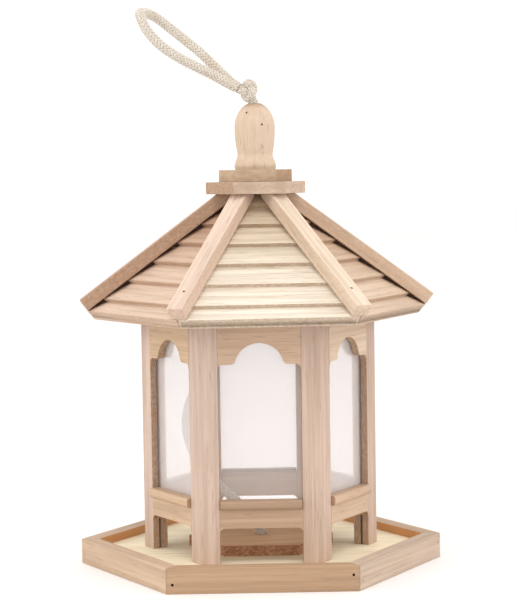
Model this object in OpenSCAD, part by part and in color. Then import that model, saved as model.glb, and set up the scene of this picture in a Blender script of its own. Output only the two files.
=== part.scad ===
// Hanging six-sided bird feeder: a seed house with clear windows on a hexagonal tray,
// under a loose shingled roof that slides up the hanging rope for filling.
// Millimetres, +Z up. The origin is the centre of the tray's underside, the front face
// looks along -Y, and two corners of the tray lie on the X axis.

/* [Tray] */
// Width of the tray across its flat sides
tray_across = 185; // [175:1:200]
// Thickness of the rim strips
rim_thick = 9.5; // [7:0.5:12]
// Height of the rim strips
rim_height = 14.5; // [12:0.5:20]
// Thickness of the tray floor
floor_thick = 6; // [5:0.5:7]
// Height of the floor's underside above the rim's underside
floor_lift = 3.5; // [3.5:0.5:5]
// Width of the rope's anchor plate across its flat sides
plate_across = 74; // [60:1:80]
// Thickness of the anchor plate
plate_thick = 6.3; // [4:0.1:8]

/* [House] */
// Length of one side of the house
house_side = 69; // [66:1:69]
// Width of a corner post along each of its two faces
post_leg = 11; // [9:0.5:13]
// Thickness of the outer layer of the walls
outer_board = 4; // [3:0.5:5]
// Width of the groove that holds the panes
pane_groove = 1.5; // [1.2:0.1:2]
// Thickness of the inner layer of the walls
inner_board = 3.5; // [3:0.5:5]
// Depth of the groove in the posts and rails
groove_depth = 3; // [2:0.5:3.5]
// Height of the top of the posts above the base
wall_top = 166; // [160:0.5:166]
// Height of the straight shoulders of the window heads
shoulder_z = 123; // [110:1:130]
// Radius of the arch in the window heads
arch_r = 14; // [10:0.5:16]
// Drop of the arch's centre below the shoulders
arch_drop = 2; // [1:0.5:4]
// Height of the underside of the rails
rail_bottom = 30; // [24:1:32]
// Height of the underside of the sills
sill_bottom = 40.5; // [38:0.5:42]
// Height of the sills' top
sill_top = 46; // [46:0.5:49]
// Distance that the sills stand out from the walls
sill_reach = 2.4; // [2:0.1:4]
// Radius of the rounding along the sills' front edges
sill_round = 1.6; // [0.5:0.1:2.5]

/* [Windows] */
// Thickness of the clear panes
pane_thick = 1.2; // [1:0.1:1.4]
// Height of the panes' top edge
pane_top = 158; // [140:1:160]

/* [Roof] */
// Distance from the axis to the lower edge of the eaves
eave_apothem = 84.3; // [84:0.1:88]
// Height of the lower edge of the eaves
eave_z = 147.2; // [147.2:0.1:150]
// Pitch of the roof faces in degrees
roof_pitch = 40.6; // [40.6:0.1:42]
// Thickness of the roof boards at the butt of a shingle
butt_thick = 4.8; // [4:0.1:6]
// Thickness of the roof boards where a shingle runs under the next one
head_thick = 2.2; // [1.5:0.1:3]
// Depth of the strip under the eaves, square to the slope
eave_lip = 2; // [1:0.1:2.5]
// Exposed length of the lowest shingle course, along the slope
first_course = 11; // [8:0.5:14]
// Exposed length of the other courses, along the slope
course = 16.5; // [16:0.5:18]
// Number of courses above the lowest one
upper_courses = 6; // [4:1:6]
// Width of the hip battens
batten_wide = 10; // [8:0.5:12]
// Thickness of the hip battens
batten_thick = 7.8; // [6:0.1:9]
// Angle at which the loose roof sits turned on the house, in degrees
roof_turn = 3.8; // [0:0.1:3.8]

/* [Cap and finial] */
// Height of the underside of the lower cap plate
cap_z = 218; // [216:0.5:219]
// Thickness of each cap plate
cap_thick = 7; // [5:0.5:8]
// Distance from the axis to a corner of the lower cap plate
lower_cap_r = 29.4; // [26:0.1:32]
// Distance from the axis to a corner of the upper cap plate
upper_cap_r = 21.6; // [18:0.1:24]
// Largest radius of the finial
finial_r = 11.85; // [10:0.05:13]
// Radius of the finial's waist
waist_r = 10.3; // [9:0.1:10.5]
// Radius of the finial's foot
foot_r = 12.2; // [11:0.1:13]

/* [Rope] */
// Diameter of the cotton rope
rope_d = 6; // [5:0.5:6]
// Diameter of the holes that the rope runs through
rope_hole_d = 7; // [7:0.5:8]
// Radius of the knot on top of the finial
knot_r = 7; // [6:0.5:8]

/* [Hidden] */
FACES = ["front", "front_right", "back_right", "back", "back_left", "front_left"];
CORNERS = ["front_right", "right", "back_right", "back_left", "left", "front_left"];
SIDES = [0:5];

raw_wood = [0.85, 0.72, 0.6];
end_wood = [0.72, 0.56, 0.43];
cotton = [0.91, 0.87, 0.8];
clear_sheet = [0.86, 0.88, 0.92, 0.35];
nail_steel = [0.3, 0.26, 0.22];

t30 = tan(30);
c30 = cos(30);
tray_apothem = tray_across / 2;
floor_top = floor_lift + floor_thick;
plate_top = floor_top + plate_thick;
wall_apothem = house_side * c30;
wall_thick = outer_board + pane_groove + inner_board;
opening = house_side - 2 * post_leg;
groove_floor_z = sill_bottom + 2;
lip_top = sill_top - 1.5;
pane_slack = 0.3;
corner_round = 3;
shoulder_round = 2.5;

// Radial depth of the pane groove, counted inwards from the wall's outer face
groove_out = outer_board;
groove_in = outer_board + pane_groove;

slope_c = cos(roof_pitch);
slope_s = sin(roof_pitch);
eave_r = eave_apothem / c30;
hip_slope = tan(roof_pitch) * c30;
hip_pitch = atan(hip_slope);
roof_hole = 6;
batten_sink = 0.5;
batten_tip = eave_r + 2.6;
batten_inner = 12;
// The spline under each batten: its width, and its play above the strips under the eaves
spline_wide = 2;
spline_play = 0.1;
// Width of the strip under the eaves, along the slope
eave_lip_wide = 7;
hip_rise = butt_thick / slope_c - batten_sink;

finial_z = cap_z + 2 * cap_thick;
waist_z = finial_z + 9.3;
belly_z = finial_z + 24.5;
dome_h = 15;
finial_top = belly_z + dome_h;

knot_x = -4;
knot_z = finial_top + 6.9;
neck_bottom = finial_top - 9.5;
stopper_h = 9;
stopper_r = 6.6;
stopper_hole_d = 16;

// Brads: heads, shanks, and their lengths in the rim strips and in the battens
brad_head_d = 1.5;
brad_head_h = 0.4;
brad_shank_d = 1;
rim_brad = 9;
batten_brad = 13;

// Route of the slack rope inside the house: up from its stopper knot, out towards the
// left windows in one loose bow, and back to the hole in the roof
inner_route = [
    [0, 0, 8], [0, 0, 16], [-1, 0, 21], [-4, 0, 26], [-9, 0, 31], [-15, 1, 36],
    [-21, 1, 42], [-27, 1, 48], [-33, 1, 55], [-38, 1, 62], [-41, 1, 70], [-43, 1, 78],
    [-43, 1, 86], [-41, 1, 94], [-37, 1, 103], [-32, 1, 113], [-27, 1, 124], [-22, 1, 135],
    [-17, 0, 147], [-12, 0, 160], [-8, 0, 172], [-4, 0, 184], [-1, 0, 195], [0, 0, 205],
    [0, 0, 216], [0, 0, 232], [0, 0, 248], [0, 0, 262]
];

// Route of the hanging loop: out of the top knot, up to the left, round its tip, back
loop_route = [
    [-9, 2, 280], [-14, 4, 284], [-20, 6, 290], [-26, 8, 296], [-32, 10, 302],
    [-38, 12, 307], [-44, 13, 312], [-50, 14, 317], [-55, 13, 321], [-60, 10, 324],
    [-64, 5, 325], [-66, -1, 324], [-65, -7, 321], [-63, -12, 316], [-59, -14, 310],
    [-53, -14, 304], [-46, -13, 299], [-39, -11, 295], [-31, -8, 291], [-23, -5, 287],
    [-16, -3, 283], [-10, -2, 280]
];

// Outline of one side of the hexagon in plan, less half of a slot along each mitre
function mitre(outer, inner, slot = 0) = let (cut = slot / 2 / c30) [
    [cut - outer * t30, -outer], [outer * t30 - cut, -outer],
    [inner * t30 - cut, -inner], [cut - inner * t30, -inner]
];

// Section through the roof boards: s runs up the slope, t stands square to it
function roof_point(s, t) = [
    eave_apothem - s * slope_c + t * slope_s,
    eave_z + s * slope_s + t * slope_c
];
function butt_s(i) = i == 0 ? 0 : first_course + (i - 1) * course;
ridge_s = butt_s(upper_courses + 1);
function roof_section() = concat(
    [roof_point(ridge_s, 0), roof_point(0, 0)],
    [for (i = [0:upper_courses], end = [0, 1])
        roof_point(butt_s(i + end), end == 0 ? butt_thick : head_thick)]
);

function lip_section() = [
    roof_point(eave_lip_wide, 0), roof_point(eave_lip_wide, -eave_lip),
    roof_point(0, -eave_lip), roof_point(0, 0)
];

// Height of the battens' underside above a point at distance r from the axis
function batten_z(r) = eave_z + (eave_r - r) * hip_slope + hip_rise;

// Finial outline: a domed top, a belly that narrows to a waist, and a flared foot
function finial_outline(n = 12) = concat(
    [for (i = [0:n]) [
        finial_r * sin(90 * i / n),
        belly_z + dome_h * cos(90 * i / n)
    ]],
    [for (i = [1:n]) let (z = belly_z - (belly_z - waist_z) * i / n) [
        finial_r - (finial_r - waist_r) * pow(i / n, 2),
        z
    ]],
    [for (i = [1:n]) [
        waist_r + (foot_r - waist_r) * (1 - cos(180 * i / n)) / 2,
        waist_z - (waist_z - finial_z - 2) * i / n
    ]],
    [[foot_r - 0.4, finial_z], [0, finial_z]]
);

// Sweep of a round tube along a route, with its rings square to the mean direction.
// The vector across points out of the plane that the route keeps close to.
function unit(v) = v / norm(v);
function heading(p, i) = unit(p[min(i + 1, len(p) - 1)] - p[max(i - 1, 0)]);
function ring(c, dir, across, r, n) =
    let (side = unit(cross(dir, across)), up = cross(side, dir))
    [for (a = [0:n - 1]) c + r * (side * cos(360 * a / n) + up * sin(360 * a / n))];

module tube(p, d, across, n = 10) {
    rings = [for (i = [0:len(p) - 1]) each ring(p[i], heading(p, i), across, d / 2, n)];
    last = (len(p) - 1) * n;
    ends = [[for (a = [0:n - 1]) a], [for (a = [n - 1:-1:0]) last + a]];
    walls = [for (i = [0:len(p) - 2], a = [0:n - 1]) let (b = (a + 1) % n)
        [i * n + b, i * n + a, (i + 1) * n + a, (i + 1) * n + b]];
    polyhedron(rings, concat(ends, walls), convexity = 6);
}

// Face k is drawn looking along -Y, and corner k is drawn pointing along +X
module on_face(k) {
    rotate([0, 0, 60 * k]) children();
}

module on_corner(k) {
    rotate([0, 0, 60 * k - 60]) children();
}

// Everything that belongs to the loose roof
module roof_place() {
    rotate([0, 0, roof_turn]) children();
}

module hexagon_plate(apothem, z, h) {
    translate([0, 0, z]) cylinder(r = apothem / c30, h = h, $fn = 6);
}

// Extrudes a (depth, height) section along face 0; depth is counted inwards from the wall
module along_wall(width) {
    translate([-width / 2, -wall_apothem, 0]) rotate([90, 0, 90])
        linear_extrude(width) children();
}

// Extrudes an (x, height) outline through the wall between two depths
module through_wall(from, to) {
    translate([0, -wall_apothem + to, 0]) rotate([90, 0, 0])
        linear_extrude(to - from) children();
}

module tray_rim(k) {
    color(raw_wood) on_face(k) linear_extrude(rim_height)
        polygon(mitre(tray_apothem, tray_apothem - rim_thick));
}

module tray_floor() {
    color(raw_wood) difference() {
        hexagon_plate(tray_apothem - rim_thick, floor_lift, floor_thick);
        translate([0, 0, floor_lift - 1]) cylinder(d = stopper_hole_d, h = floor_thick + 2, $fn = 48);
    }
}

module anchor_plate() {
    color(end_wood) difference() {
        hexagon_plate(plate_across / 2, floor_top, plate_thick);
        translate([0, 0, floor_top - 1]) cylinder(d = rope_hole_d, h = plate_thick + 2, $fn = 48);
    }
}

// Post: two legs along the faces, joined square across the inside, grooved in both edges
module post_section() {
    difference() {
        polygon([
            [house_side, 0], post_edge(0, 1), post_edge(wall_thick, 1),
            post_edge(wall_thick, -1), post_edge(0, -1)
        ]);
        for (side = [-1, 1]) polygon([
            post_edge(groove_out, side), post_edge(groove_in, side),
            post_edge(groove_in, side) + groove_step(side),
            post_edge(groove_out, side) + groove_step(side)
        ]);
    }
}

// Point on the post's edge against the window, at a depth from the outer face
function post_edge(depth, side) = [
    house_side - post_leg / 2 - depth * c30,
    side * (post_leg * c30 - depth / 2)
];
function groove_step(side) = groove_depth * [0.5, -side * c30];

module corner_post(k) {
    color(raw_wood) on_corner(k) translate([0, 0, floor_top])
        linear_extrude(wall_top - floor_top) post_section();
}

// Window head: straight shoulders, a round arch between them, and eased corners
module header_outline() {
    centre_z = shoulder_z - arch_drop;
    round_z = shoulder_z + shoulder_round;
    round_x = sqrt(pow(arch_r + shoulder_round, 2) - pow(round_z - centre_z, 2));
    touch = [0, centre_z] + arch_r * unit([round_x, round_z - centre_z]);
    difference() {
        union() {
            translate([-opening / 2, shoulder_z]) square([opening, wall_top - shoulder_z]);
            for (side = [-1, 1]) top_corner(side, shoulder_z);
        }
        translate([0, centre_z]) circle(arch_r, $fn = 96);
        for (side = [0, 1]) mirror([side, 0]) difference() {
            polygon([[round_x, shoulder_z], [0, shoulder_z - 1], touch]);
            translate([round_x, round_z]) circle(shoulder_round, $fn = 48);
        }
    }
}

// Rounded inside corner under a head or rail, against the post on one side
module top_corner(side, z) {
    difference() {
        translate([side * (opening - corner_round) / 2, z - corner_round / 2])
            square(corner_round, center = true);
        translate([side * (opening / 2 - corner_round), z - corner_round])
            circle(corner_round, $fn = 48);
    }
}

module arch_header(k) {
    color(raw_wood) on_face(k) through_wall(0, groove_out) header_outline();
}

module inner_headers() {
    color(raw_wood) for (k = SIDES) on_face(k)
        through_wall(groove_in, wall_thick) header_outline();
}

// Rail: a board under the window, stepped for the sill and grooved for the pane
module rail(k) {
    color(raw_wood) on_face(k) intersection() {
        along_wall(opening) polygon([
            [0, rail_bottom - corner_round], [0, sill_bottom],
            [groove_out, sill_bottom], [groove_out, groove_floor_z],
            [groove_in, groove_floor_z], [groove_in, lip_top],
            [wall_thick, lip_top], [wall_thick, rail_bottom - corner_round]
        ]);
        through_wall(-1, wall_thick + 1) {
            translate([-opening / 2, rail_bottom]) square([opening, sill_top - rail_bottom]);
            for (side = [-1, 1]) top_corner(side, rail_bottom);
        }
    }
}

// Sill: a strip with eased front edges that stands out under the window
module sill(k) {
    high = sill_top - sill_bottom;
    deep = groove_out + sill_reach;
    color(raw_wood) on_face(k) along_wall(opening - 0.6) translate([-sill_reach, sill_bottom]) {
        translate([sill_round, 0]) square([deep - sill_round, high]);
        translate([0, sill_round]) square([sill_round, high - 2 * sill_round]);
        for (z = [sill_round, high - sill_round]) translate([sill_round, z])
            circle(sill_round, $fn = 48);
    }
}

module pane(k) {
    side_slack = groove_depth - pane_slack;
    play = (pane_groove - pane_thick) / 2;
    width = opening + 2 * side_slack;
    color(clear_sheet) on_face(k)
        translate([-width / 2, -wall_apothem + groove_out + play, groove_floor_z])
            cube([width, pane_thick, pane_top - groove_floor_z]);
}

// One roof face of a given section, mitred to its neighbours with a slot between them
module mitred_board(section, slot) {
    low = eave_z - eave_lip;
    intersection() {
        rotate([90, 0, -90]) translate([0, 0, -eave_r]) linear_extrude(2 * eave_r)
            polygon(section);
        translate([0, 0, low]) linear_extrude(cap_z - low)
            polygon(mitre(eave_apothem + 10, roof_hole, slot));
    }
}

// Shingled board, thickened under the eaves by a strip that closes the corners
module roof_panel(k) {
    color(raw_wood) roof_place() on_face(k) {
        mitred_board(roof_section(), spline_wide);
        mitred_board(lip_section(), 0);
    }
}

// Batten: a square-cut strip along the hip, trimmed under the cap, with a thin spline
// along its underside that fills the joint between the two roof boards
module hip_batten(k) {
    long = 2 * batten_tip;
    spline_deep = hip_rise * cos(hip_pitch) - spline_play;
    color(raw_wood) roof_place() on_corner(k) intersection() {
        translate([batten_tip, 0, batten_z(batten_tip)]) rotate([0, hip_pitch, 0]) {
            translate([-long, -batten_wide / 2, 0]) cube([long, batten_wide, batten_thick]);
            translate([-long, -spline_wide / 2, -spline_deep])
                cube([long, spline_wide, spline_deep + batten_thick / 2]);
        }
        translate([batten_inner, -batten_wide / 2, eave_z])
            cube([eave_r, batten_wide, cap_z - eave_z]);
    }
}

module cap_plate(r, z) {
    difference() {
        translate([0, 0, z]) cylinder(r = r, h = cap_thick, $fn = 6);
        translate([0, 0, z - 1]) cylinder(d = rope_hole_d, h = cap_thick + 2, $fn = 48);
    }
}

module lower_cap() {
    color(end_wood) roof_place() cap_plate(lower_cap_r, cap_z);
}

module upper_cap() {
    color(end_wood) roof_place() cap_plate(upper_cap_r, cap_z + cap_thick);
}

module finial() {
    color(raw_wood) roof_place() difference() {
        rotate_extrude($fn = 96) polygon(finial_outline());
        translate([0, 0, finial_z - 1])
            cylinder(d = rope_hole_d, h = finial_top - finial_z + 2, $fn = 48);
    }
}

module rope_inner() {
    color(cotton) tube(inner_route, rope_d, [0, 1, 0]);
}

module rope_stopper_knot() {
    round_r = stopper_h / 2;
    color(cotton) translate([0, 0, floor_top - stopper_h]) rotate_extrude($fn = 48) {
        square([stopper_r - round_r, stopper_h]);
        intersection() {
            translate([stopper_r - round_r, round_r]) circle(round_r, $fn = 48);
            square([stopper_r, stopper_h]);
        }
    }
}

// The top knot and the short neck of rope below it, in the finial's hole
module rope_top_knot() {
    color(cotton) union() {
        translate([knot_x, 0, knot_z]) sphere(knot_r, $fn = 48);
        translate([0, 0, neck_bottom]) cylinder(d = rope_d, h = knot_z - neck_bottom - 2, $fn = 48);
    }
}

module rope_loop() {
    color(cotton) tube(loop_route, rope_d, [0.6, 0, 0.8]);
}

// Brad: drawn along +X, with its head flush at the origin and its shank inside the wood
module brad(length) {
    rotate([0, -90, 0]) {
        translate([0, 0, -brad_head_h]) cylinder(d = brad_head_d, h = brad_head_h, $fn = 24);
        translate([0, 0, -length]) cylinder(d = brad_shank_d, h = length, $fn = 24);
    }
}

// One brad near each end of every rim strip, through the mitre
module rim_brads() {
    inset = 3.5;
    color(nail_steel) for (k = SIDES, side = [-1, 1]) on_face(k)
        translate([side * (tray_apothem * t30 - inset), -tray_apothem, rim_height / 2 + side * 2])
            rotate([0, 0, 90]) brad(rim_brad);
}

// Two brads through each batten into the roof boards
module batten_brads() {
    stations = [88, 42];
    color(nail_steel) roof_place() for (k = SIDES, r = stations) on_corner(k)
        translate([r, 0, batten_z(r)]) rotate([0, hip_pitch, 0])
            translate([0, 0, batten_thick]) rotate([0, 90, 0]) brad(batten_brad);
}

for (k = SIDES) tray_rim(k);
tray_floor();
anchor_plate();
for (k = SIDES) corner_post(k);
for (k = SIDES) rail(k);
for (k = SIDES) sill(k);
for (k = SIDES) arch_header(k);
inner_headers();
for (k = SIDES) pane(k);
for (k = SIDES) roof_panel(k);
for (k = SIDES) hip_batten(k);
lower_cap();
upper_cap();
finial();
rope_inner();
rope_stopper_knot();
rope_top_knot();
rope_loop();
rim_brads();
batten_brads();
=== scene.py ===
import math
import random

import bmesh
import bpy
from mathutils import Matrix, Vector


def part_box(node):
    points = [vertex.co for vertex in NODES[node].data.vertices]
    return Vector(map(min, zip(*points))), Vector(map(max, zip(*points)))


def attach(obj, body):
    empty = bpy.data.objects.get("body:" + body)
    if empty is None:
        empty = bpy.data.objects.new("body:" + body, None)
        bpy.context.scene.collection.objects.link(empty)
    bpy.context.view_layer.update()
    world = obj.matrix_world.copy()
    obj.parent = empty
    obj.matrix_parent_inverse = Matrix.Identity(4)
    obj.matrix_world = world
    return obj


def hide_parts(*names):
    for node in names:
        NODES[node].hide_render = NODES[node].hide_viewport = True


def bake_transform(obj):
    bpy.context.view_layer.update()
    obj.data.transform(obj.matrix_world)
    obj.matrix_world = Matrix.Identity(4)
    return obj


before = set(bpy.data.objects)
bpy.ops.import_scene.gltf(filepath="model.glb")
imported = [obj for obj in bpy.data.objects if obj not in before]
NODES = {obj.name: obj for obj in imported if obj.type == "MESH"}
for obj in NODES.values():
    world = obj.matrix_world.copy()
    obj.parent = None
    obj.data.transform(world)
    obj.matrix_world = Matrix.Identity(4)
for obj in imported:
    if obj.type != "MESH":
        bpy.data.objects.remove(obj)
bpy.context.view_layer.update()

MM = 0.001
FACES = ("front", "front_right", "back_right", "back", "back_left", "front_left")
CORNERS = ("front_right", "right", "back_right", "back_left", "left", "front_left")


# ---------------------------------------------------------------- camera

CAMERA_YAW = math.radians(-0.49)
CAMERA_PITCH = math.radians(3.91)
CAMERA_ROLL = math.radians(-0.89)
CAMERA_DISTANCE = 1.1728
CAMERA_SIDE = 0.0004
CAMERA_HEIGHT = 0.2353
CAMERA_LENS = 119.4


def make_camera():
    """A long lens in front of the feeder, level with the finial's foot, looking slightly down."""
    back = Vector((math.sin(CAMERA_YAW), -math.cos(CAMERA_YAW), 0))
    right = Vector((math.cos(CAMERA_YAW), math.sin(CAMERA_YAW), 0))
    up = Vector((0, 0, 1))
    look = -back * math.cos(CAMERA_PITCH) - up * math.sin(CAMERA_PITCH)
    level_up = right.cross(look)
    right_rolled = right * math.cos(CAMERA_ROLL) + level_up * math.sin(CAMERA_ROLL)
    up_rolled = level_up * math.cos(CAMERA_ROLL) - right * math.sin(CAMERA_ROLL)
    lens = bpy.data.cameras.new("camera")
    lens.lens = CAMERA_LENS
    camera = bpy.data.objects.new("camera", lens)
    bpy.context.scene.collection.objects.link(camera)
    place = Matrix((right_rolled, up_rolled, -look)).transposed().to_4x4()
    place.translation = back * CAMERA_DISTANCE + right * CAMERA_SIDE + up * CAMERA_HEIGHT
    camera.matrix_world = place
    bpy.context.scene.camera = camera


make_camera()


# ---------------------------------------------------------------- ropes

# Route of the slack rope inside the house, from its stopper knot to the roof's hole
INSIDE_ROUTE = [
    (0, 0, 0.008), (0, 0, 0.016), (-0.001, 0, 0.021), (-0.004, 0, 0.026), (-0.009, 0, 0.031),
    (-0.015, 0.001, 0.036), (-0.021, 0.001, 0.042), (-0.027, 0.001, 0.048), (-0.033, 0.001, 0.055),
    (-0.038, 0.001, 0.062), (-0.041, 0.001, 0.070), (-0.043, 0.001, 0.078), (-0.043, 0.001, 0.086),
    (-0.041, 0.001, 0.094), (-0.037, 0.001, 0.103), (-0.032, 0.001, 0.113), (-0.027, 0.001, 0.124),
    (-0.022, 0.001, 0.135), (-0.017, 0, 0.147), (-0.012, 0, 0.160), (-0.008, 0, 0.172),
    (-0.004, 0, 0.184), (-0.001, 0, 0.195), (0, 0, 0.205), (0, 0, 0.216),
]
# The same rope through the caps and the finial, up to its knot
BORE_ROUTE = [
    (0, 0, 0.216), (0, 0, 0.232), (0, 0, 0.248), (0, 0, 0.262), (0, 0, 0.269), (-0.002, 0, 0.275),
]
# Route of the hanging loop: out of the top knot, up to the left, round its tip, back
LOOP_ROUTE = [
    (-0.009, 0.002, 0.280), (-0.014, 0.004, 0.284), (-0.020, 0.006, 0.290), (-0.026, 0.008, 0.296),
    (-0.032, 0.010, 0.302), (-0.038, 0.012, 0.307), (-0.044, 0.013, 0.312), (-0.050, 0.014, 0.317),
    (-0.055, 0.013, 0.321), (-0.060, 0.010, 0.324), (-0.064, 0.005, 0.325), (-0.066, -0.001, 0.324),
    (-0.065, -0.007, 0.321), (-0.063, -0.012, 0.316), (-0.059, -0.014, 0.310), (-0.053, -0.014, 0.304),
    (-0.046, -0.013, 0.299), (-0.039, -0.011, 0.295), (-0.031, -0.008, 0.291), (-0.023, -0.005, 0.287),
    (-0.016, -0.003, 0.283), (-0.010, -0.002, 0.280),
]
ROPE_D = 0.006
KNOT_CENTRE = Vector((-0.004, 0, 0.2784))
# The braid of a rope of that diameter; a thinner rope scales all of it
BRAID_PITCH = 0.018
CORE_R = 0.0021
# Mean distance of the strands from the rope's axis, and how far they go in and out of it
STRAND_R = 0.00225
WEAVE_R = 0.0003
STRAND_HALF_WIDE = 0.00074
STRAND_HALF_THICK = 0.0005
CARRIERS = 8
CORE_SIDES = 12
STRAND_SIDES = 6
# Distance between the braid's rings, and how many of them make a step of the declared path
RING_STEP = 0.0004
PATH_RINGS = 5
KNOT_POINTS = 150


def smooth_route(route, step):
    """Points about step apart on a smooth curve through the route's points."""
    points = [Vector(p) for p in route]
    ends = [2 * points[0] - points[1]] + points + [2 * points[-1] - points[-2]]
    curve = []
    for before, start, end, after in zip(ends, ends[1:], ends[2:], ends[3:]):
        count = max(1, round((end - start).length / step))
        for i in range(count):
            t = i / count
            curve.append(0.5 * (
                2 * start + (end - before) * t
                + (2 * before - 5 * start + 4 * end - after) * t ** 2
                + (3 * start - before - 3 * end + after) * t ** 3
            ))
    return curve + [points[-1]]


def frames_along(curve, closed=False):
    """Distance, direction and two square side vectors at each point, turning as little as possible."""
    last = len(curve) - 1
    side = None
    distance = 0.0
    result = []
    for i, point in enumerate(curve):
        if closed:
            heading = (curve[(i + 1) % len(curve)] - curve[i - 1]).normalized()
        else:
            heading = (curve[min(i + 1, last)] - curve[max(i - 1, 0)]).normalized()
        if side is None:
            side = heading.orthogonal()
        side = (side - heading * side.dot(heading)).normalized()
        if i:
            distance += (point - curve[i - 1]).length
        result.append((distance, point, side, heading.cross(side)))
    return result


def add_tube(bm, rings, closed=False):
    """Skins a list of rings of points, with flat caps unless the tube closes on itself."""
    loops = [[bm.verts.new(p) for p in ring] for ring in rings]
    sides = len(loops[0])
    pairs = list(zip(loops, loops[1:]))
    if closed:
        pairs.append((loops[-1], loops[0]))
    for low, high in pairs:
        for a in range(sides):
            b = (a + 1) % sides
            bm.faces.new((low[a], low[b], high[b], high[a]))
    if not closed:
        bm.faces.new(reversed(loops[0]))
        bm.faces.new(loops[-1])


def ring_angles(sides):
    return [2 * math.pi * k / sides for k in range(sides)]


def add_braid(bm, frames, diameter, closed=False):
    """Flat strands round a core, CARRIERS of them each way round, two over and two under."""
    scale = diameter / ROPE_D
    pitch = BRAID_PITCH * scale
    length = frames[-1][0]
    if closed:
        pitch = length / max(1, round(length / pitch))
    core_r = CORE_R * scale
    mid_r = STRAND_R * scale
    weave_r = WEAVE_R * scale
    half_wide = STRAND_HALF_WIDE * scale
    half_thick = STRAND_HALF_THICK * scale
    crossing = pitch / (2 * CARRIERS)
    add_tube(bm, [
        [p + (u * math.cos(a) + v * math.sin(a)) * core_r for a in ring_angles(CORE_SIDES)]
        for _, p, u, v in frames
    ], closed)
    for hand in (1, -1):
        for carrier in range(CARRIERS):
            rings = []
            for s, p, u, v in frames:
                angle = hand * 2 * math.pi * s / pitch + 2 * math.pi * carrier / CARRIERS
                phase = 2 * carrier + hand * s / crossing
                lift = hand * weave_r * math.cos(math.pi / 2 * (phase - 0.5))
                out = u * math.cos(angle) + v * math.sin(angle)
                along = u.cross(v)
                around = v * math.cos(angle) - u * math.sin(angle)
                lean = math.atan2(2 * math.pi * mid_r, pitch) * hand
                wide = around * math.cos(lean) - along * math.sin(lean)
                centre = p + out * (mid_r + lift)
                rings.append([
                    centre + wide * half_wide * math.cos(a) + out * half_thick * math.sin(a)
                    for a in ring_angles(STRAND_SIDES)
                ])
            add_tube(bm, rings, closed)


def mesh_object(name, bm, smooth=True):
    """Makes the mesh an object, with its faces turned outwards."""
    bmesh.ops.recalc_face_normals(bm, faces=bm.faces)
    mesh = bpy.data.meshes.new(name)
    bm.to_mesh(mesh)
    bm.free()
    mesh.polygons.foreach_set("use_smooth", [smooth] * len(mesh.polygons))
    piece = bpy.data.objects.new(name, mesh)
    bpy.context.scene.collection.objects.link(piece)
    return piece


def braided_rope(name, route):
    """A braided rope along a route, and the points that its centre follows."""
    curve = smooth_route(route, RING_STEP)
    bm = bmesh.new()
    add_braid(bm, frames_along(curve), ROPE_D)
    return mesh_object(name, bm), [tuple(p) for p in curve[::PATH_RINGS]] + [tuple(curve[-1])]


def knot_curve(centre, radius, height, turn):
    """A trefoil, the shape of an overhand knot pulled tight."""
    curve = []
    for i in range(KNOT_POINTS):
        t = 2 * math.pi * i / KNOT_POINTS
        flat = Vector((math.sin(t) + 2 * math.sin(2 * t), math.cos(t) - 2 * math.cos(2 * t), 0))
        point = flat * (radius / 3) + Vector((0, 0, -math.sin(3 * t) * height))
        curve.append(centre + turn @ point)
    return curve


def add_knot(bm, centre, radius, height, turn, diameter):
    """A tight knot of braided rope, whose centre line reaches radius out from its centre and
    height each way along its axis."""
    curve = knot_curve(centre, radius, height, turn)
    add_braid(bm, frames_along(curve, closed=True), diameter, closed=True)


def make_ropes():
    """The three stretches of rope and their two knots, in place of the plain CAD solids."""
    inside, inside_path = braided_rope("rope_inside_braid", INSIDE_ROUTE)
    bore, _ = braided_rope("rope_bore_braid", BORE_ROUTE)
    loop, loop_path = braided_rope("rope_loop_braid", LOOP_ROUTE)

    bm = bmesh.new()
    tilt = Matrix.Rotation(math.radians(62), 3, "X") @ Matrix.Rotation(math.radians(20), 3, "Z")
    add_knot(bm, KNOT_CENTRE, 0.0046, 0.0021, tilt, 0.0052)
    top_knot = mesh_object("rope_top_knot_tied", bm)

    bm = bmesh.new()
    low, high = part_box("rope_stopper_knot")
    add_knot(bm, (low + high) / 2, 0.0044, 0.0018, Matrix.Identity(3), 0.0044)
    stopper = mesh_object("rope_stopper_knot_tied", bm)

    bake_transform(inside)
    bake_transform(bore)
    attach(loop, "hanger")
    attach(top_knot, "hanger")
    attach(stopper, "house")
    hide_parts("rope_inner")
    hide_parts("rope_inner")
    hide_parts("rope_loop")
    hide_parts("rope_top_knot")
    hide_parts("rope_stopper_knot")
    return [inside, bore, loop, top_knot, stopper]


ropes = make_ropes()


# ---------------------------------------------------------------- materials

def tone(red, green, blue):
    """A colour given as 0 to 255 display values, as the linear colour that a shader takes."""
    def linear(value):
        value /= 255
        return value / 12.92 if value <= 0.04045 else ((value + 0.055) / 1.055) ** 2.4
    return (linear(red), linear(green), linear(blue), 1.0)


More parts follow.
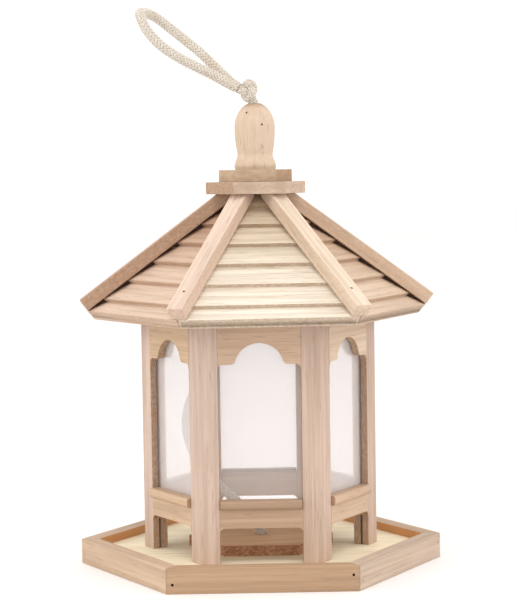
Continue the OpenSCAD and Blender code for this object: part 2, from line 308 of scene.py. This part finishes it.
class Shader:
    """A material with one Principled shader, and short calls that add nodes to it."""

    def __init__(self, name):
        self.material = bpy.data.materials.new(name)
        self.material.use_nodes = True
        self.tree = self.material.node_tree
        self.surface = self.tree.nodes["Principled BSDF"]
        self.output = self.tree.nodes["Material Output"]

    def put(self, socket, value):
        if isinstance(value, bpy.types.NodeSocket):
            self.tree.links.new(value, socket)
        else:
            socket.default_value = value

    def node(self, kind, settings=None, **inputs):
        made = self.tree.nodes.new("ShaderNode" + kind)
        for key, value in (settings or {}).items():
            setattr(made, key, value)
        for key, value in inputs.items():
            self.put(made.inputs[key.replace("_", " ")], value)
        return made

    def maths(self, operation, a, b=0.0, c=0.0, clamp=False):
        made = self.node("Math", {"operation": operation, "use_clamp": clamp})
        for socket, value in zip(made.inputs, (a, b, c)):
            self.put(socket, value)
        return made.outputs[0]

    def vector(self, operation, a, b=(0, 0, 0)):
        made = self.node("VectorMath", {"operation": operation})
        self.put(made.inputs[0], a)
        self.put(made.inputs[1], b)
        return made.outputs["Value" if operation in ("LENGTH", "DOT_PRODUCT") else "Vector"]

    def turned(self, vector, axis, angle):
        made = self.node("VectorRotate", {"rotation_type": axis}, Vector=vector, Angle=angle)
        return made.outputs[0]

    def noise(self, place, stretch, detail=2.0, rough=0.5):
        """Noise with its features 1 / stretch metres long along each axis."""
        scaled = self.vector("MULTIPLY", place, stretch)
        made = self.node("TexNoise", None, Vector=scaled, Scale=1.0, Detail=detail, Roughness=rough)
        return made.outputs["Factor" if "Factor" in made.outputs else "Fac"]

    def ramp(self, value, low, high):
        """0 at low, 1 at high and past it, with a soft change between. low may be the larger."""
        made = self.node("MapRange", {"interpolation_type": "SMOOTHSTEP"}, Value=value)
        made.inputs["From Min"].default_value = low
        made.inputs["From Max"].default_value = high
        return made.outputs["Result"]

    def mix(self, share, a, b, blend="MIX"):
        made = self.node("Mix", {"data_type": "RGBA", "blend_type": blend})
        colours = [s for s in made.inputs if s.type == "RGBA"]
        self.put(made.inputs[0], share)
        self.put(colours[0], a)
        self.put(colours[1], b)
        return next(s for s in made.outputs if s.type == "RGBA")

    def bump(self, height, distance, strength=1.0):
        made = self.node("Bump", None, Height=height, Distance=distance, Strength=strength)
        self.tree.links.new(made.outputs["Normal"], self.surface.inputs["Normal"])

    def finish(self, colour, roughness, specular=0.35):
        self.put(self.surface.inputs["Base Color"], colour)
        self.put(self.surface.inputs["Roughness"], roughness)
        self.surface.inputs["Specular IOR Level"].default_value = specular
        return self.material


SAWN = tone(156, 122, 92)
# Golden brown that paints the shade on the rims' inner faces
GOLDEN_INNER_SHADE = tone(202, 144, 88)
# Red-brown for the anchor plate's sawn edges, darkened as painted shade of its front edge
RED_BROWN_EDGE_SHADE = tone(134, 78, 46)
# Width of a growth ring
RING_WIDTH = 0.0024


def raw_wood(name, light, dark, seed, turn=0.0, lean=0.0, edges=None, sawn=SAWN, sawn_share=0.85,
             shade_top=None):
    """Raw softwood. The grain runs along X, turned about Z by turn and then about Y by lean.
    The ends across the grain always look sawn. edges names the other faces that do: "sides" of
    a board whose faces look along Y, "legs" of a post whose window edges look along Y, "butts"
    that look down, whose sawn colour is partly painted shade, or "rim" for all round a flat
    board. "inside" makes the face along +Y golden instead, a painted shade of the rim's inner
    face. shade_top is the two heights between which the wood darkens, a painted shadow of the
    caps."""
    draw = random.Random(seed)
    shader = Shader(name)
    place = shader.node("TexCoord").outputs["Object"]
    normal = shader.node("NewGeometry").outputs["Normal"]
    place = shader.turned(place, "Z_AXIS", -turn)
    normal = shader.turned(normal, "Z_AXIS", -turn)
    flat_normal = normal
    place = shader.turned(place, "Y_AXIS", lean)
    normal = shader.turned(normal, "Y_AXIS", lean)
    place = shader.vector("ADD", place, [draw.uniform(-3, 3) for _ in range(3)])

    patches = shader.noise(place, (9, 28, 28), 2)
    warp = shader.noise(place, (5, 30, 30), 2)
    streaks = shader.noise(place, (10, 330, 330), 4, 0.62)
    fibres = shader.noise(place, (45, 1500, 1500), 2, 0.6)
    flecks = shader.noise(place, (70, 1100, 1100), 1)

    heart = [0, -draw.uniform(0.02, 0.06), -draw.uniform(0.02, 0.05)]
    start = shader.vector("ADD", place, heart)
    section = shader.vector("MULTIPLY", start, (0.02, 1, 1))
    radius = shader.vector("LENGTH", section)
    bent = shader.maths("ADD", radius, shader.maths("MULTIPLY", warp, 0.016))
    growth = shader.maths("SINE", shader.maths("MULTIPLY", bent, 2 * math.pi / RING_WIDTH))
    late = shader.ramp(growth, 0.1, 1.0)

    figure = shader.maths("MULTIPLY_ADD", streaks, 0.75, shader.maths("MULTIPLY", patches, 0.25))
    figure = shader.ramp(figure, 0.34, 0.66)
    figure = shader.maths("SUBTRACT", figure, shader.maths("MULTIPLY", late, 0.14), clamp=True)
    colour = shader.mix(figure, dark, light)
    colour = shader.mix(shader.ramp(flecks, 0.62, 0.74), colour, shader.mix(0.4, colour, SAWN))
    colour = shader.mix(shader.maths("MULTIPLY", fibres, 0.10), colour, dark, "MULTIPLY")

    along = shader.maths("ABSOLUTE", shader.node("SeparateXYZ", None, Vector=normal).outputs[0])
    cut = shader.ramp(along, 0.6, 0.9)
    parts = shader.node("SeparateXYZ", None, Vector=flat_normal).outputs
    if edges == "sides":
        face = shader.maths("ABSOLUTE", parts[1])
        cut = shader.maths("MAXIMUM", cut, shader.ramp(face, 0.6, 0.2))
    elif edges == "legs":
        face = shader.maths("ABSOLUTE", parts[1])
        cut = shader.maths("MAXIMUM", cut, shader.ramp(face, 0.6, 0.8))
    elif edges == "butts":
        # Faces that look down take the sawn colour, partly as painted shade
        cut = shader.maths("MAXIMUM", cut, shader.ramp(parts[2], -0.2, -0.5))
    elif edges == "rim":
        upright = shader.maths("ABSOLUTE", parts[2])
        cut = shader.maths("MAXIMUM", cut, shader.ramp(upright, 0.6, 0.2))
    marks = shader.noise(place, (420, 650, 650), 3, 0.7)
    rough_cut = shader.mix(shader.ramp(marks, 0.35, 0.7), sawn, shader.mix(0.45, sawn, light))
    colour = shader.mix(shader.maths("MULTIPLY", cut, sawn_share), colour, rough_cut)
    if edges == "inside":
        # Painted shade: the face along +Y, a rim's inner face, turns golden
        inner = shader.maths("MULTIPLY", shader.ramp(parts[1], 0.6, 0.9), 0.85)
        colour = shader.mix(inner, colour, GOLDEN_INNER_SHADE)
    if shade_top:
        # Painted shadow of the caps: the wood darkens between the two heights of shade_top
        unturned = shader.node("TexCoord").outputs["Object"]
        here = shader.node("SeparateXYZ", None, Vector=unturned)
        upper = shader.ramp(here.outputs[2], *shade_top)
        colour = shader.mix(shader.maths("MULTIPLY", upper, 0.95), colour, dark, "MULTIPLY")

    height = shader.maths("MULTIPLY_ADD", fibres, 0.5, shader.maths("MULTIPLY", streaks, 0.5))
    saw_marks = shader.maths("MULTIPLY", shader.maths("MULTIPLY", marks, cut), 1.5)
    height = shader.maths("ADD", height, saw_marks)
    shader.bump(height, 0.00018, 0.7)
    roughness = shader.maths("MULTIPLY_ADD", streaks, 0.2, 0.58)
    return shader.finish(colour, roughness, 0.3)


def cotton(name):
    """Off-white cotton: a soft sheen, fine lighter and darker yarn, and soiled patches."""
    shader = Shader(name)
    place = shader.node("TexCoord").outputs["Object"]
    yarn = shader.noise(place, (2600, 2600, 2600), 3, 0.7)
    soil = shader.noise(place, (90, 90, 90), 3, 0.6)
    colour = shader.mix(shader.ramp(yarn, 0.35, 0.65), tone(180, 168, 152), tone(236, 228, 217))
    soiled = shader.mix(0.35, colour, tone(196, 172, 142))
    colour = shader.mix(shader.ramp(soil, 0.45, 0.75), colour, soiled)
    shader.bump(yarn, 0.0002, 0.8)
    shader.surface.inputs["Sheen Weight"].default_value = 0.25
    shader.surface.inputs["Sheen Roughness"].default_value = 0.5
    roughness = shader.maths("MULTIPLY_ADD", yarn, 0.15, 0.8)
    return shader.finish(colour, roughness, 0.2)


def clear_sheet(name):
    """Thin clear plastic: mostly see-through, mixed with a little milky white, more at a slant."""
    shader = Shader(name)
    place = shader.node("TexCoord").outputs["Object"]
    smear = shader.noise(place, (25, 25, 12), 3, 0.6)
    tint = shader.mix(shader.ramp(smear, 0.3, 0.7), tone(252, 251, 251), tone(254, 253, 253))
    shader.surface.inputs["Base Color"].default_value = tone(250, 246, 245)
    shader.put(shader.surface.inputs["Roughness"], shader.maths("MULTIPLY_ADD", smear, 0.06, 0.02))
    shader.surface.inputs["Specular IOR Level"].default_value = 0.5
    through = shader.node("BsdfTransparent", None, Color=tint)
    share = shader.node("LayerWeight", None, Blend=0.12).outputs["Fresnel"]
    share = shader.maths("MULTIPLY_ADD", share, 0.35, 0.175, clamp=True)
    both = shader.node("MixShader", None, Fac=share)
    shader.tree.links.new(through.outputs[0], both.inputs[1])
    shader.tree.links.new(shader.surface.outputs[0], both.inputs[2])
    shader.tree.links.new(both.outputs[0], shader.output.inputs["Surface"])
    return shader.material


def nail_steel(name):
    """Dull dark steel, spotted with rust."""
    shader = Shader(name)
    place = shader.node("TexCoord").outputs["Object"]
    rust = shader.noise(place, (1800, 1800, 1800), 3)
    colour = shader.mix(shader.ramp(rust, 0.4, 0.6), tone(70, 62, 56), tone(112, 78, 52))
    shader.surface.inputs["Metallic"].default_value = 0.6
    return shader.finish(colour, shader.maths("MULTIPLY_ADD", rust, 0.3, 0.4))


def floor_white(name):
    """Matt white studio floor with the faintest unevenness."""
    shader = Shader(name)
    place = shader.node("TexCoord").outputs["Object"]
    grime = shader.noise(place, (3, 3, 3), 3)
    colour = shader.mix(shader.ramp(grime, 0.3, 0.7), tone(243, 242, 241), tone(247, 246, 245))
    return shader.finish(colour, 0.6)


# ---------------------------------------------------------------- wooden pieces

# Slope of the roof faces and of the battens over their corners, and the roof's turn on the house
PITCH = math.radians(40.6)
HIP_PITCH = math.atan(math.tan(PITCH) * math.cos(math.radians(30)))
ROOF_TURN = math.radians(3.8)
# A little more than half the width of the spline under each batten
SPLINE_HALF = 0.0012


def shades(red, green, blue, depth=0.89):
    """The lighter and darker colour of one board: its mean display colour and a darker one."""
    return tone(red, green, blue), tone(red * depth, green * depth * 0.985, blue * depth * 0.97)


ROSY = (212, 188, 172)
TAN = shades(206, 178, 150)
# Display colours of the boards, which differ from face to face as real boards do, and in two places as
# painted light
RIM = {"front": (190, 157, 126), "front_left": (206, 178, 152), "front_right": (204, 182, 162)}
# The front-right header is lighter: painted light from the right
HEAD = {"front": (212, 183, 158), "front_left": (215, 186, 155), "front_right": (226, 203, 178)}
RAIL = {"front": (200, 170, 144), "front_left": (212, 184, 156), "front_right": (218, 190, 164)}
SILL = {"front": (182, 153, 128), "front_left": (208, 178, 148), "front_right": (206, 176, 150)}
# The front shingles are lighter: painted light from above the front
SHINGLES = {"front": (245, 234, 217), "front_left": (222, 196, 175), "front_right": (222, 198, 175)}
# How far the lower edges of the shingles take the sawn colour: partly sawn wood and partly painted
# shade, most on the front
BUTT_SAWN_AND_SHADE_SHARE = {"front": 0.62}
OTHER_BUTT_SAWN_AND_SHADE_SHARE = 0.4
# The posts that aren't ROSY
POST = {"front_right": (209, 184, 167), "right": (205, 180, 163)}
# The two heights between which the shingles darken towards the caps: a painted shadow of the caps
ROOF_CAP_SHADOW = (0.158, 0.222)
# The first random seed of each kind of piece. The faces and the corners count up from it
SEED = {"rim": 10, "rail": 20, "sill": 30, "arch_header": 40, "roof": 50, "post": 60, "batten": 70,
        "joint": 79, "floor": 80, "plate": 81, "lower_cap": 82, "upper_cap": 83, "inner_header": 90,
        "finial": 95}
# Each batten's face, and how far its sides take the sawn colour. The left batten's darker face and its
# larger share are painted shade, and the sides' sawn colour is partly painted shade on every batten
BATTEN_TONE_AND_SHADE = {"left": (206, 176, 156, 0.75), "front_left": (230, 206, 188, 0.4),
          "front_right": (232, 212, 190, 0.3), "right": (222, 196, 172, 0.3)}


# Vertices closer than this are joined, faces flatter than FLAT_ANGLE are merged, and edges
# sharper than EDGE_ANGLE are rounded
WELD_DISTANCE = 0.00002
FLAT_ANGLE = math.radians(1)
EDGE_ANGLE = math.radians(30)


def dress(name, material, round_mm):
    """Gives a CAD node its material, joins its split vertices and softens its edges."""
    piece = NODES[name]
    piece.data.materials.clear()
    piece.data.materials.append(material)
    piece.data.polygons.foreach_set("use_smooth", [True] * len(piece.data.polygons))
    weld = piece.modifiers.new("weld", "WELD")
    weld.merge_threshold = WELD_DISTANCE
    flat = piece.modifiers.new("flat", "DECIMATE")
    flat.decimate_type = "DISSOLVE"
    flat.angle_limit = FLAT_ANGLE
    bevel = piece.modifiers.new("bevel", "BEVEL")
    bevel.width = round_mm * MM
    bevel.segments = 2
    bevel.limit_method = "ANGLE"
    bevel.angle_limit = EDGE_ANGLE
    bevel.use_clamp_overlap = True
    normals = piece.modifiers.new("normals", "WEIGHTED_NORMAL")
    normals.weight = 80
    return piece


def face_wood(kind, k, colours, turn, edges, **more):
    """The wood of one kind of board on face number k, in the colour listed for that face, which for
    some faces is partly painted light.
    """
    face = FACES[k]
    light, dark = shades(*colours.get(face, colours["front_left"]))
    return raw_wood(f"{kind}_{face}_wood", light, dark, SEED[kind] + k, turn, 0.0, edges, **more)


def dress_faces():
    for k, face in enumerate(FACES):
        turn = math.radians(60 * k)
        dress(f"tray_rim_{face}", face_wood("rim", k, RIM, turn, "inside"), 0.5)
        dress(f"rail_{face}", face_wood("rail", k, RAIL, turn, "sides"), 0.2)
        dress(f"sill_{face}", face_wood("sill", k, SILL, turn, None), 0.2)
        dress(f"arch_header_{face}", face_wood("arch_header", k, HEAD, turn, "sides"), 0.2)
        shingles = face_wood("roof", k, SHINGLES, turn + ROOF_TURN, "butts",
                             sawn_share=BUTT_SAWN_AND_SHADE_SHARE.get(face, OTHER_BUTT_SAWN_AND_SHADE_SHARE),
                             shade_top=ROOF_CAP_SHADOW)
        dress(f"roof_panel_{face}", shingles, 0.35)


def paint_spline_gap_shade(batten, dark_joint, turn):
    """Gives the sides of the thin spline under a batten the dark material, a painted shade of the gaps
    under the batten.
    """
    batten.data.materials.append(dark_joint)
    across = Vector((-math.sin(turn), math.cos(turn), 0))
    for polygon in batten.data.polygons:
        if abs(across.dot(polygon.center)) < SPLINE_HALF and polygon.normal.z < 0.5:
            polygon.material_index = int(abs(across.dot(polygon.normal)) > 0.9)


def dress_corners():
    # Dark brown for the spline's sides: painted shade of the gaps under the battens
    dark_joint = raw_wood("batten_joint_wood", *shades(62, 42, 32), SEED["joint"])
    for k, corner in enumerate(CORNERS):
        turn = math.radians(60 * k - 60)
        roof_turn = turn + ROOF_TURN
        post = raw_wood(f"post_{corner}_wood", *shades(*POST.get(corner, ROSY)), SEED["post"] + k,
                        turn, math.radians(90), "legs")
        dress(f"corner_post_{corner}", post, 0.25)
        red, green, blue, sawn_share = BATTEN_TONE_AND_SHADE.get(corner, BATTEN_TONE_AND_SHADE["right"])
        strip = raw_wood(f"batten_{corner}_wood", *shades(red, green, blue), SEED["batten"] + k,
                         roof_turn, -HIP_PITCH, "legs", sawn_share=sawn_share)
        paint_spline_gap_shade(dress(f"hip_batten_{corner}", strip, 0.6), dark_joint, roof_turn)


def dress_plates():
    """The four flat boards round the rope. The grain of the upper three isn't square to a face."""
    floor = raw_wood("floor_wood", *shades(252, 240, 210, 0.92), SEED["floor"])
    dress("tray_floor", floor, 0.2)
    # The plate's edges take the red-brown: sawn wood, partly painted shade
    plate = raw_wood("plate_wood", *shades(232, 192, 150), SEED["plate"], math.radians(8), 0,
                     "rim", RED_BROWN_EDGE_SHADE)
    dress("anchor_plate", plate, 0.3)
    cap = raw_wood("lower_cap_wood", *shades(205, 181, 160), SEED["lower_cap"],
                   ROOF_TURN + math.radians(20))
    dress("lower_cap", cap, 0.35)
    cap = raw_wood("upper_cap_wood", *shades(197, 171, 144), SEED["upper_cap"],
                   ROOF_TURN - math.radians(25))
    dress("upper_cap", cap, 0.35)


def dress_inner_headers():
    """One node holds all six inner boards, so each polygon takes the material of its side."""
    piece = NODES["inner_headers"]
    woods = [
        raw_wood(f"inner_header_{face}_wood", *TAN, SEED["inner_header"] + k, math.radians(60 * k),
                 0.0, "sides")
        for k, face in enumerate(FACES)
    ]
    dress("inner_headers", woods[0], 0.2)
    for wood in woods[1:]:
        piece.data.materials.append(wood)
    for polygon in piece.data.polygons:
        angle = math.degrees(math.atan2(polygon.center.y, polygon.center.x)) + 90
        polygon.material_index = round(angle / 60) % 6


def recolour(name, material):
    """Gives a CAD node its material and leaves its edges as they are."""
    NODES[name].data.materials.clear()
    NODES[name].data.materials.append(material)


def dress_rest():
    """The finial, panes, brads and ropes. Returns the brads' steel, for the finial's pins."""
    turned_wood = raw_wood("finial_wood", *shades(210, 188, 166, 0.96), SEED["finial"], 0.0,
                           math.radians(90))
    recolour("finial", turned_wood)
    pane = clear_sheet("clear_pane_plastic")
    for face in FACES:
        recolour(f"pane_{face}", pane)
    steel = nail_steel("brad_steel_dull")
    for name in ("rim_brads", "batten_brads"):
        recolour(name, steel)
    rope = cotton("cotton_rope_braid")
    for piece in ropes:
        piece.data.materials.append(rope)
    return steel


# The finial's dome is half an ellipsoid with the rope's hole through it
DOME_R = 0.01185
DOME_H = 0.015
DOME_HOLE_R = 0.0035
# How far each pin is to the side of the axis, and above the dome's foot
PINS = ((-0.0046, 0.0088), (0.0042, 0.0018))
PIN_FOOT_R = 0.0006
PIN_HEAD_R = 0.00052
PIN_LONG = 0.0004


def make_finial_pins(steel):
    """Two small pins driven nearly flush into the front of the finial's dome."""
    _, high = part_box("finial")
    foot = high.z - DOME_H * math.sqrt(1 - (DOME_HOLE_R / DOME_R) ** 2)
    bm = bmesh.new()
    for side, up in PINS:
        ring = DOME_R * math.sqrt(1 - (up / DOME_H) ** 2)
        depth = math.sqrt(ring ** 2 - side ** 2)
        out = Vector((side, -depth, up * (DOME_R / DOME_H) ** 2)).normalized()
        place = Matrix.Translation((side, -depth, foot + up))
        place = place @ out.to_track_quat("Z", "Y").to_matrix().to_4x4()
        bmesh.ops.create_cone(bm, cap_ends=True, segments=14, radius1=PIN_FOOT_R,
                              radius2=PIN_HEAD_R, depth=PIN_LONG, matrix=place)
    pins = mesh_object("finial_pins", bm, False)
    pins.data.materials.append(steel)
    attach(pins, "roof")


dress_faces()
dress_corners()
dress_plates()
dress_inner_headers()
make_finial_pins(dress_rest())


# ---------------------------------------------------------------- studio

FLOOR_R = 9.0


def make_floor():
    bm = bmesh.new()
    bmesh.ops.create_circle(bm, cap_ends=True, segments=96, radius=FLOOR_R)
    floor = mesh_object("studio_floor", bm, False)
    floor.data.materials.append(floor_white("studio_floor_white"))


MIDDLE = Vector((0, 0, 0.15))
LAMP_SIZE = 0.8
LAMP_COLOUR = (1.0, 0.985, 0.96)


def soft_light(name, place, watts):
    """A round area lamp that faces the middle of the feeder."""
    lamp = bpy.data.lights.new(name, "AREA")
    lamp.shape = "DISK"
    lamp.size = LAMP_SIZE
    lamp.energy = watts
    lamp.color = LAMP_COLOUR
    light = bpy.data.objects.new(name, lamp)
    bpy.context.scene.collection.objects.link(light)
    light.location = place
    light.rotation_mode = "QUATERNION"
    light.rotation_quaternion = (MIDDLE - Vector(place)).to_track_quat("-Z", "Y")


def make_studio():
    world = bpy.data.worlds.new("studio")
    world.use_nodes = True
    sky = world.node_tree.nodes["Background"]
    sky.inputs["Color"].default_value = (1, 1, 1, 1)
    sky.inputs["Strength"].default_value = 1.1
    bpy.context.scene.world = world
    bpy.context.scene.view_settings.view_transform = "Standard"
    soft_light("key_left", (-2.0, -0.5, 0.8), 9)
    soft_light("key_right", (2.0, -0.4, 0.7), 7)
    soft_light("top", (0.1, -1.0, 2.0), 9)


make_floor()
make_studio()
